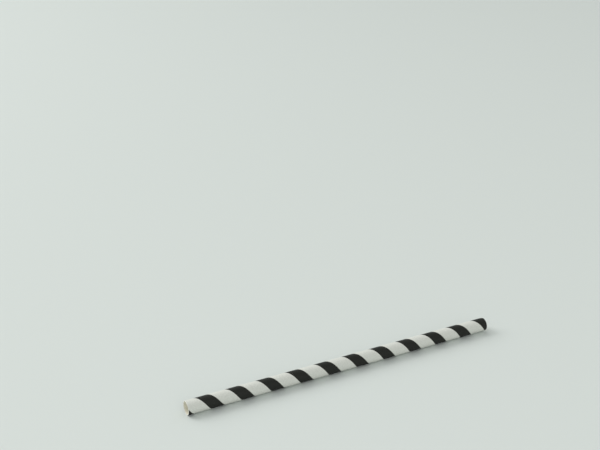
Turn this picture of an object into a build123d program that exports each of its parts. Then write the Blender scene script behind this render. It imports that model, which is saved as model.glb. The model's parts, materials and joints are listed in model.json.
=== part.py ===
"""Paper drinking straw, wound in a helix from glued paper strip.

The straw lies on its side along X, with its origin under its middle, where it touches the table.
Lengths are in millimetres. Angles are in degrees round the straw, from +Y towards +Z.
"""

import os
from math import cos, radians, sin, sqrt

from build123d import *

os.makedirs("parts", exist_ok=True)

# The tube
straw_length = 197.0
outer_diameter = 8.0
wall_thickness = 0.40
resting_flat = 1.2  # width of the line on which the straw lies, where its paper gives a little

# The outer strip: its turns butt edge to edge and leave a fine, shallow helical seam
winding_pitch = 18.27
seam_width = 0.30
seam_depth = 0.07
seam_angle = 161.5  # where the seam comes out at the left end
seam_run_out = 1.0  # how far the seam's cut reaches past each end

outer_radius = outer_diameter / 2
inner_radius = outer_radius - wall_thickness
axis_height = sqrt(outer_radius**2 - (resting_flat / 2) ** 2)
left_end = -straw_length / 2


def across_straw(x, angle):
    """Plane square to the straw at x, centred on its axis, with its own x axis turned to an angle."""
    outward = (0, cos(radians(angle)), sin(radians(angle)))
    return Plane(origin=(x, 0, axis_height), x_dir=outward, z_dir=(1, 0, 0))


# Path of the seam along the outer wall, one turn in each pitch, and the plane of its section
seam_start = across_straw(left_end - seam_run_out, seam_angle - 360 * seam_run_out / winding_pitch)
seam_path = seam_start.from_local_coords(
    Helix(winding_pitch, straw_length + 2 * seam_run_out, outer_radius)
)
seam_plane = Plane(origin=seam_path @ 0, x_dir=seam_start.x_dir, z_dir=seam_path % 0)

with BuildPart() as paper_tube:
    with BuildSketch(across_straw(left_end, seam_angle + 180)):
        Circle(outer_radius)
        Circle(inner_radius, mode=Mode.SUBTRACT)
    extrude(amount=straw_length)
    with BuildSketch(seam_plane):
        Rectangle(2 * seam_depth, seam_width)
    sweep(path=seam_path, is_frenet=True, mode=Mode.SUBTRACT)
    split(bisect_by=Plane.XY)

paper_tube.part.label = "paper_tube"
export_step(paper_tube.part, "parts/paper_tube.step")
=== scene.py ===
"""Looks of the paper drinking straw: a wound paper tube with a printed black stripe, lying on a pale floor.

Everything is in metres in the part's own frame: X along the straw, Z up, the floor at Z = 0.
Round the straw, angles run from +Y towards +Z, and one turn is the full circle.
"""

import json
import math

import bmesh
import bpy
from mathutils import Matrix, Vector


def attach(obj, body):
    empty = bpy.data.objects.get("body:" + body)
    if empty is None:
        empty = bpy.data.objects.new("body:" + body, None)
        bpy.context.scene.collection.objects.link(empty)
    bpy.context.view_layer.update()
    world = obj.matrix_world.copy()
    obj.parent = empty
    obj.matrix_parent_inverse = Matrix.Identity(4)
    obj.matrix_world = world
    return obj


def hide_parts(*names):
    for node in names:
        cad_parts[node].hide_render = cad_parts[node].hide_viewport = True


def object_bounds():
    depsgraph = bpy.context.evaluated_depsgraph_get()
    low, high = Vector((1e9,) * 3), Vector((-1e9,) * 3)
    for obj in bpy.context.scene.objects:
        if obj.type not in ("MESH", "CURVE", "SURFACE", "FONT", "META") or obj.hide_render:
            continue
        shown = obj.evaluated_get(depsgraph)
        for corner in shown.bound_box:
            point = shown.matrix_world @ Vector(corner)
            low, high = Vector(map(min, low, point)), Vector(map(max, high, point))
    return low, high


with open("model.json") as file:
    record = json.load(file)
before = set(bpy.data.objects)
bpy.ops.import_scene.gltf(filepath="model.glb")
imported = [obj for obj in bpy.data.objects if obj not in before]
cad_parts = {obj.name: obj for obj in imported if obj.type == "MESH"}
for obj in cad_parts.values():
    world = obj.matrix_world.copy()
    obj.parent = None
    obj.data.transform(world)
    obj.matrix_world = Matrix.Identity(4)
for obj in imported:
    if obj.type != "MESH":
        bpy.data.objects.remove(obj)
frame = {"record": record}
cad_low, cad_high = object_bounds()

MM = 0.001
TAU = 2 * math.pi

# Sizes of the tube, from the frame
mounts = {mount["name"]: mount for mount in frame["record"]["mounts"]}
OUTER_R = mounts["outer_wall"]["dims"]["r_mm"] * MM
INNER_R = mounts["drinking_bore"]["dims"]["r_mm"] * MM
AXIS_Z = mounts["drinking_bore"]["pos_m"][2]
LEFT_END = cad_low.x
RIGHT_END = cad_high.x

# The winding of the strip and its seam, as in the solid
PITCH = 18.27 * MM
LEAD = math.atan2(PITCH, TAU * OUTER_R)  # slope of the strip round the straw
SEAM_TURN = 161.5 / 360  # where the seam comes out at the left end
SEAM_PHASE = (LEFT_END / PITCH - SEAM_TURN) % 1
SEAM_WIDTH = 0.30 * MM
SEAM_DEPTH = 0.07 * MM

# The inner ply has a seam of its own, half a turn away and finer
INNER_SEAM_PHASE = SEAM_PHASE + 0.5
INNER_SEAM_WIDTH = 0.20 * MM
INNER_SEAM_DEPTH = 0.05 * MM

# The strip's edges are rounded along each seam, on a curve of (share of the lip, share of the seam's depth)
SEAM_LIP = 0.05 * MM
LIP_CURVE = ((-0.25, 1.0), (0.0, 0.6), (0.5, 0.1), (1.0, 0.0))

# The printed stripe lies along the seam, on its left
BLACK_SHARE = 0.44  # of the strip's width
STRIPE_BLUR = 0.05 * MM
STRIPE_BLEED = 0.12 * MM  # how far the ink runs along the fibres

# The cut ends show three plies. The blade rounds their rims and leaves the cut a little uneven
PLIES = 3
PLY = (OUTER_R - INNER_R) / PLIES
RIM = 0.06 * MM
RIM_ANGLES = (30, 60, 90)  # degrees round the rim, from the wall to the cut
CUT_STEP = 0.03 * MM  # how far the plies between the rims stand back
CUT_WAVE = 0.05 * MM  # depth of the unevenness
BROAD_WAVES = 3  # in one round of the cut
FINE_WAVES = 8

# Fineness of the mesh
COLUMNS = 160  # faces round the straw
FLAT_SHARES = (0.25, 0.5, 0.75)  # rows of points between two seams
SPARE_TURNS = 0.2  # by which a wall is wound past each end before it is cut
SHARP_ANGLE = math.radians(35)
SNAP = 1e-7  # points this near to a cut are moved onto it
AT_END = 1e-6  # how near to a cut its open edges are looked for


# The straw's mesh


def seam_profile(radius, width, depth):
    """Points across one pitch, from one seam's middle to the next, as (share of the pitch, radius)."""
    across = math.cos(math.atan2(PITCH, TAU * radius))
    half = width / 2 / across / PITCH
    lip = SEAM_LIP / across / PITCH
    near = [(half + out * lip, radius - down * depth) for out, down in LIP_CURVE]
    flat = [(share, radius) for share in FLAT_SHARES]
    far = [(1 - share, r) for share, r in reversed(near)]
    return [(0, radius - depth)] + near + flat + far


def wound_wall(mesh, profile, phase, material):
    """Adds a tube wall wound from a strip with that profile, longer than the straw at both ends."""
    rows = len(profile)
    first = math.floor((LEFT_END / PITCH - phase - 1 - SPARE_TURNS) * COLUMNS)
    last = math.ceil((RIGHT_END / PITCH - phase + SPARE_TURNS) * COLUMNS)
    points = {}
    for column in range(first, last + 1):
        turn = column / COLUMNS
        for row, (share, radius) in enumerate(profile):
            y = radius * math.cos(TAU * turn)
            z = radius * math.sin(TAU * turn) + AXIS_Z
            points[column, row] = mesh.verts.new((PITCH * (turn + phase + share), y, z))

    def at(column, row):
        return points.get((column + COLUMNS, 0) if row == rows else (column, row))

    for column in range(first, last):
        for row in range(rows):
            corners = [at(column, row), at(column, row + 1), at(column + 1, row + 1), at(column + 1, row)]
            if None not in corners:
                mesh.faces.new(corners).material_index = material


def cut_square(mesh, x, side):
    """Cuts off all that lies beyond the plane at x. side is the way out, -1 or 1."""
    everything = mesh.verts[:] + mesh.edges[:] + mesh.faces[:]
    bmesh.ops.bisect_plane(
        mesh, geom=everything, dist=SNAP, plane_co=(x, 0, 0), plane_no=(side, 0, 0), clear_outer=True
    )


def rim_edges(mesh, x, inside):
    """Open edges of the outer or the inner wall at a cut end."""
    middle = (OUTER_R + INNER_R) / 2
    found = []
    for edge in mesh.edges:
        at_end = all(abs(v.co.x - x) < AT_END for v in edge.verts)
        radius = math.hypot(edge.verts[0].co.y, edge.verts[0].co.z - AXIS_Z)
        if edge.is_boundary and at_end and (radius < middle) == inside:
            found.append(edge)
    return found


def ring(mesh, x, side, depth, radius):
    """Vertices of a slightly uneven ring round the straw's axis, at a depth behind the end at x."""
    verts = []
    for column in range(COLUMNS):
        angle = TAU * column / COLUMNS
        broad = (1 + math.sin(BROAD_WAVES * angle + side)) / 2
        fine = (1 + math.sin(FINE_WAVES * angle)) / 2
        behind = depth + CUT_WAVE * (broad + fine) / 2
        y = radius * math.cos(angle)
        z = radius * math.sin(angle) + AXIS_Z
        verts.append(mesh.verts.new((x - side * behind, y, z)))
    return verts


def rounded_rim(mesh, x, side, radius, inward):
    """Rings from a wall over its rounded rim to the cut. inward is -1 on the outer wall, 1 on the inner."""
    rings = []
    for angle in map(math.radians, RIM_ANGLES):
        depth = RIM * (1 - math.sin(angle))
        rings.append(ring(mesh, x, side, depth, radius + inward * RIM * (1 - math.cos(angle))))
    return rings


def cut_face(mesh, x, side, wall_end, material):
    """Closes a cut end between the two walls, over both rims and ply by ply."""
    rings = rounded_rim(mesh, x, side, OUTER_R, -1)
    for ply in range(1, PLIES):
        rings.append(ring(mesh, x, side, CUT_STEP / ply, OUTER_R - ply * PLY))
    rings += rounded_rim(mesh, x, side, INNER_R, 1)[::-1]
    faces = []
    for outer, inner in zip(rings, rings[1:]):
        for i in range(COLUMNS):
            faces.append(mesh.faces.new((outer[i - 1], outer[i], inner[i], inner[i - 1])))
    for inside, nearest in ((False, rings[0]), (True, rings[-1])):
        edges = [mesh.edges.get((nearest[i - 1], nearest[i])) for i in range(COLUMNS)]
        faces += bmesh.ops.bridge_loops(mesh, edges=rim_edges(mesh, wall_end, inside) + edges)["faces"]
    for face in faces:
        face.material_index = material


def straw_mesh(printed, inner, cut):
    """The whole tube as one closed mesh. printed, inner and cut are the places of its materials."""
    mesh = bmesh.new()
    wound_wall(mesh, seam_profile(OUTER_R, SEAM_WIDTH, SEAM_DEPTH), SEAM_PHASE, printed)
    wound_wall(mesh, seam_profile(INNER_R, INNER_SEAM_WIDTH, -INNER_SEAM_DEPTH), INNER_SEAM_PHASE, inner)
    for x, side in ((LEFT_END, -1), (RIGHT_END, 1)):
        wall_end = x - side * (RIM + CUT_WAVE)
        cut_square(mesh, wall_end, side)
        cut_face(mesh, x, side, wall_end, cut)
    for vert in mesh.verts:
        vert.co.z = max(vert.co.z, 0)  # the paper gives a little where the straw lies on the floor
    bmesh.ops.recalc_face_normals(mesh, faces=mesh.faces[:])
    for face in mesh.faces:
        face.smooth = True
    for edge in mesh.edges:
        edge.smooth = edge.calc_face_angle(math.pi) < SHARP_ANGLE
    data = bpy.data.meshes.new("straw")
    mesh.to_mesh(data)
    mesh.free()
    return data


# Materials


def linear(red, green, blue):
    """Shader colour of a screen colour given from 0 to 255."""
    shares = [value / 255 for value in (red, green, blue)]
    return tuple(s / 12.92 if s <= 0.04045 else ((s + 0.055) / 1.055) ** 2.4 for s in shares) + (1.0,)


PAPER_LIGHT = linear(220, 222, 215)
PAPER_DARK = linear(207, 209, 201)
INK_DEEP = linear(20, 21, 17)
INK = linear(30, 31, 26)
INK_WORN = linear(40, 41, 35)
# The inner ply's whites are set brighter than the outer paper's. This is painted light for the light that
# falls into the bore. The cream tint and the mottling are the paper's own.
INNER_LIGHT = linear(240, 237, 222)
INNER_DARK = linear(231, 227, 209)
CUT_LIGHT = linear(230, 229, 223)
CUT_GLUE = linear(198, 191, 174)

# Noises, as (scale per metre, detail, roughness), and the band in which most of their values lie
FORMATION = (1500.0, 4.0, 0.6)
FIBRES = (6000.0, 4.0, 0.65)
TORN_FIBRES = (9000.0, 3.0, 0.7)
FIBRE_STRETCH = (0.35, 1.0, 1.0)  # the fibres lie along the strip
NOISE_BAND = (0.3, 0.7)
NOISE_MIDDLE = 0.5
WORN_BAND = (0.62, 0.80)  # fibres that stand out so far show through the ink

# Lowest and highest roughness
PAPER_ROUGH = (0.74, 0.86)
INK_ROUGH = (0.50, 0.62)
INNER_ROUGH = (0.78, 0.90)
CUT_ROUGH = (0.85, 0.95)

PAPER_SPECULAR = 0.3
TOOTH = 0.02 * MM  # height of the fibres' relief
TOOTH_STRENGTH = 0.45

# Glue lines between the plies
GLUE_BAND = (0.04, 0.14)  # where a line fades out, in plies from its middle
GLUE_STRENGTH = 0.6


class Nodes:
    """A material's node tree, with short ways to add nodes and link them."""

    def __init__(self, name):
        self.material = bpy.data.materials.new(name)
        self.material.use_nodes = True
        self.tree = self.material.node_tree
        self.shader = self.tree.nodes["Principled BSDF"]

    def set(self, socket, value):
        """Links a socket to another one, or gives it a fixed value."""
        if isinstance(value, bpy.types.NodeSocket):
            self.tree.links.new(value, socket)
        else:
            socket.default_value = value

    def add(self, kind, inputs=None, **settings):
        """A new node with its settings and inputs."""
        node = self.tree.nodes.new(kind)
        for key, value in settings.items():
            setattr(node, key, value)
        for key, value in (inputs or {}).items():
            self.set(node.inputs[key], value)
        return node

    def math(self, operation, a, b=0.0):
        return self.add("ShaderNodeMath", {0: a, 1: b}, operation=operation).outputs[0]

    def ramp(self, value, low, high, to_low=0.0, to_high=1.0):
        """Smooth step from to_low to to_high, as the value goes from low to high."""
        inputs = {"Value": value, "From Min": low, "From Max": high, "To Min": to_low, "To Max": to_high}
        return self.add("ShaderNodeMapRange", inputs, interpolation_type="SMOOTHSTEP").outputs["Result"]

    def mix_number(self, factor, a, b):
        """From number a to number b. The Mix node has them at sockets 2 and 3."""
        return self.add("ShaderNodeMix", {0: factor, 2: a, 3: b}).outputs[0]

    def mix_colour(self, factor, a, b):
        """From colour a to colour b. The Mix node has them at sockets 6 and 7."""
        return self.add("ShaderNodeMix", {0: factor, 6: a, 7: b}, data_type="RGBA").outputs[2]

    def noise(self, vector, scale, detail, roughness):
        inputs = {"Vector": vector, "Scale": scale, "Detail": detail, "Roughness": roughness}
        return self.add("ShaderNodeTexNoise", inputs).outputs["Fac"]


def strip_place(nodes, phase):
    """On the wound wall: (share of the pitch across the strip, vector along and across the strip)."""
    place = nodes.add("ShaderNodeTexCoord").outputs["Object"]
    x, y, z = nodes.add("ShaderNodeSeparateXYZ", {0: place}).outputs
    up = nodes.math("SUBTRACT", z, AXIS_Z)
    turn = nodes.math("DIVIDE", nodes.math("ARCTAN2", up, y), TAU)
    turns = nodes.math("SUBTRACT", nodes.math("DIVIDE", x, PITCH), turn)
    share = nodes.math("FRACT", nodes.math("SUBTRACT", turns, phase))
    across = nodes.math("MULTIPLY", share, PITCH * math.cos(LEAD))
    seam_x = nodes.math("SUBTRACT", x, nodes.math("MULTIPLY", share, PITCH))
    along = nodes.math("DIVIDE", seam_x, math.sin(LEAD))
    vector = nodes.add("ShaderNodeCombineXYZ", {0: along, 1: across}).outputs[0]
    return share, vector


def paper_grain(nodes, strip):
    """(cloudy formation of the sheet, fine fibres along the strip), both about 0 to 1."""
    stretch = {0: strip, 1: FIBRE_STRETCH}
    stretched = nodes.add("ShaderNodeVectorMath", stretch, operation="MULTIPLY").outputs[0]
    formation = nodes.ramp(nodes.noise(strip, *FORMATION), *NOISE_BAND)
    fibre = nodes.noise(stretched, *FIBRES)
    return formation, fibre


def paper_surface(nodes, colour, roughness, fibre):
    """Puts colour, roughness and the fibres' relief on the shader."""
    nodes.set(nodes.shader.inputs["Base Color"], colour)
    nodes.set(nodes.shader.inputs["Roughness"], roughness)
    nodes.set(nodes.shader.inputs["Specular IOR Level"], PAPER_SPECULAR)
    bump = nodes.add("ShaderNodeBump", {"Strength": TOOTH_STRENGTH, "Distance": TOOTH, "Height": fibre})
    nodes.set(nodes.shader.inputs["Normal"], bump.outputs[0])
    return nodes.material


def printed_paper():
    """The outer ply: white paper with a broad printed black stripe."""
    nodes = Nodes("printed_paper")
    share, strip = strip_place(nodes, SEAM_PHASE)
    formation, fibre = paper_grain(nodes, strip)
    white = nodes.mix_colour(formation, PAPER_DARK, PAPER_LIGHT)
    ink = nodes.mix_colour(formation, INK_DEEP, INK)
    black = nodes.mix_colour(nodes.ramp(fibre, *WORN_BAND), ink, INK_WORN)
    bleed = nodes.math("MULTIPLY", nodes.math("SUBTRACT", fibre, NOISE_MIDDLE), STRIPE_BLEED / PITCH)
    border = 1 - BLACK_SHARE
    blur = STRIPE_BLUR / PITCH
    inked = nodes.ramp(nodes.math("ADD", share, bleed), border - blur, border + blur)
    paper_rough = nodes.ramp(fibre, *NOISE_BAND, *PAPER_ROUGH)
    ink_rough = nodes.ramp(fibre, *NOISE_BAND, *INK_ROUGH)
    rough = nodes.mix_number(inked, paper_rough, ink_rough)
    return paper_surface(nodes, nodes.mix_colour(inked, white, black), rough, fibre)


def inner_paper():
    """The inner ply: plain paper of a creamier white, set brighter than the outer ply as painted light for
    the light that falls into the bore.
    """
    nodes = Nodes("inner_paper")
    _, strip = strip_place(nodes, INNER_SEAM_PHASE)
    formation, fibre = paper_grain(nodes, strip)
    colour = nodes.mix_colour(formation, INNER_DARK, INNER_LIGHT)
    return paper_surface(nodes, colour, nodes.ramp(fibre, *NOISE_BAND, *INNER_ROUGH), fibre)


def cut_paper():
    """The raw cut ends: pale torn fibres with a glue line between the plies."""
    nodes = Nodes("cut_paper")
    place = nodes.add("ShaderNodeTexCoord").outputs["Object"]
    fibre = nodes.noise(place, *TORN_FIBRES)
    _, y, z = nodes.add("ShaderNodeSeparateXYZ", {0: place}).outputs
    up = nodes.math("SUBTRACT", z, AXIS_Z)
    squares = nodes.math("ADD", nodes.math("MULTIPLY", y, y), nodes.math("MULTIPLY", up, up))
    from_bore = nodes.math("SUBTRACT", nodes.math("SQRT", squares), INNER_R)
    # Counted in plies from the bore, the glue lines lie at whole numbers, but not on the rims
    ply = nodes.math("DIVIDE", from_bore, PLY)
    between = nodes.math("MINIMUM", nodes.math("MAXIMUM", ply, 0.5), PLIES - 0.5)
    from_glue = nodes.math("PINGPONG", between, 0.5)
    glued = nodes.ramp(from_glue, *GLUE_BAND, GLUE_STRENGTH, 0.0)
    colour = nodes.mix_colour(glued, CUT_LIGHT, CUT_GLUE)
    return paper_surface(nodes, colour, nodes.ramp(fibre, *NOISE_BAND, *CUT_ROUGH), fibre)


straw = bpy.data.objects.new("straw", straw_mesh(printed=0, inner=1, cut=2))
bpy.context.scene.collection.objects.link(straw)
for material in (printed_paper(), inner_paper(), cut_paper()):
    straw.data.materials.append(material)
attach(straw, "root")
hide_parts("paper_tube")


# Floor, light and camera

FLOOR_HALF = 30.0
FLOOR_COLOUR = linear(212, 218, 214)
FLOOR_ROUGH = 0.75
FLOOR_SPECULAR = 0.15

DAYLIGHT = (0.98, 1.0, 0.99, 1.0)
BACKDROP = linear(188, 193, 189)  # the tone of the floor far from the lamps

# Camera, as fitted to the photograph
LENS_MM = 60.04
SENSOR_MM = 36.0
CAMERA_PLACE = (-0.2523, -0.4283, 0.3120)
CAMERA_TILT = 23.97  # degrees below the horizon
CAMERA_TURN = -27.49  # degrees about Z, where 0 looks along +Y


def pale_floor():
    """A wide plain floor in a pale grey with a trace of green."""
    half = FLOOR_HALF
    corners = [(-half, -half, 0), (half, -half, 0), (half, half, 0), (-half, half, 0)]
    data = bpy.data.meshes.new("floor")
    data.from_pydata(corners, [], [(0, 1, 2, 3)])
    floor = bpy.data.objects.new("floor", data)
    bpy.context.scene.collection.objects.link(floor)
    nodes = Nodes("floor")
    nodes.set(nodes.shader.inputs["Base Color"], FLOOR_COLOUR)
    nodes.set(nodes.shader.inputs["Roughness"], FLOOR_ROUGH)
    nodes.set(nodes.shader.inputs["Specular IOR Level"], FLOOR_SPECULAR)
    data.materials.append(nodes.material)


def lamp(name, data, place):
    """Sets up a lamp that faces the straw from a place."""
    light = bpy.data.objects.new(name, data)
    bpy.context.scene.collection.objects.link(light)
    light.location = place
    light.rotation_euler = (-Vector(place)).to_track_quat("-Z", "Y").to_euler()


def area_light(name, place, size, power):
    """A square soft lamp, with its size in metres and its power in watts."""
    data = bpy.data.lights.new(name, "AREA")
    data.size = size
    data.energy = power
    lamp(name, data, place)


def key_light(place, spread, strength):
    """A soft light as from a large window, even over the whole floor. spread is its width in degrees."""
    data = bpy.data.lights.new("key", "SUN")
    data.angle = math.radians(spread)
    data.energy = strength
    lamp("key", data, place)


def world_light(strength):
    """Even light from all round, and the plain tone that is seen beyond the floor."""
    world = bpy.data.worlds.new("studio")
    world.use_nodes = True
    tree = world.node_tree
    light = tree.nodes["Background"]
    light.inputs["Color"].default_value = DAYLIGHT
    light.inputs["Strength"].default_value = strength
    tone = tree.nodes.new("ShaderNodeBackground")
    tone.inputs["Color"].default_value = BACKDROP
    path = tree.nodes.new("ShaderNodeLightPath")
    seen = path.outputs["Is Camera Ray"]
    for ray in ("Is Glossy Ray", "Is Transmission Ray"):
        either = tree.nodes.new("ShaderNodeMath")
        either.operation = "MAXIMUM"
        tree.links.new(seen, either.inputs[0])
        tree.links.new(path.outputs[ray], either.inputs[1])
        seen = either.outputs[0]
    mix = tree.nodes.new("ShaderNodeMixShader")
    tree.links.new(seen, mix.inputs[0])
    tree.links.new(light.outputs[0], mix.inputs[1])
    tree.links.new(tone.outputs[0], mix.inputs[2])
    tree.links.new(mix.outputs[0], tree.nodes["World Output"].inputs["Surface"])
    bpy.context.scene.world = world


def photo_camera():
    """The camera at the photograph's place, with its lens."""
    data = bpy.data.cameras.new("camera")
    data.lens = LENS_MM
    data.sensor_width = SENSOR_MM
    camera = bpy.data.objects.new("camera", data)
    bpy.context.scene.collection.objects.link(camera)
    camera.location = CAMERA_PLACE
    camera.rotation_euler = (math.radians(90 - CAMERA_TILT), 0, math.radians(CAMERA_TURN))
    bpy.context.scene.camera = camera


pale_floor()
key_light(place=(-0.6, 2.0, 1.8), spread=50, strength=0.7)
area_light("side", place=(-1.6, 1.6, 1.5), size=1.6, power=29.0)
area_light("front", place=(-0.2, -1.3, 0.7), size=1.2, power=4.1)
world_light(strength=0.583)
photo_camera()
bpy.context.scene.view_settings.view_transform = "Standard"
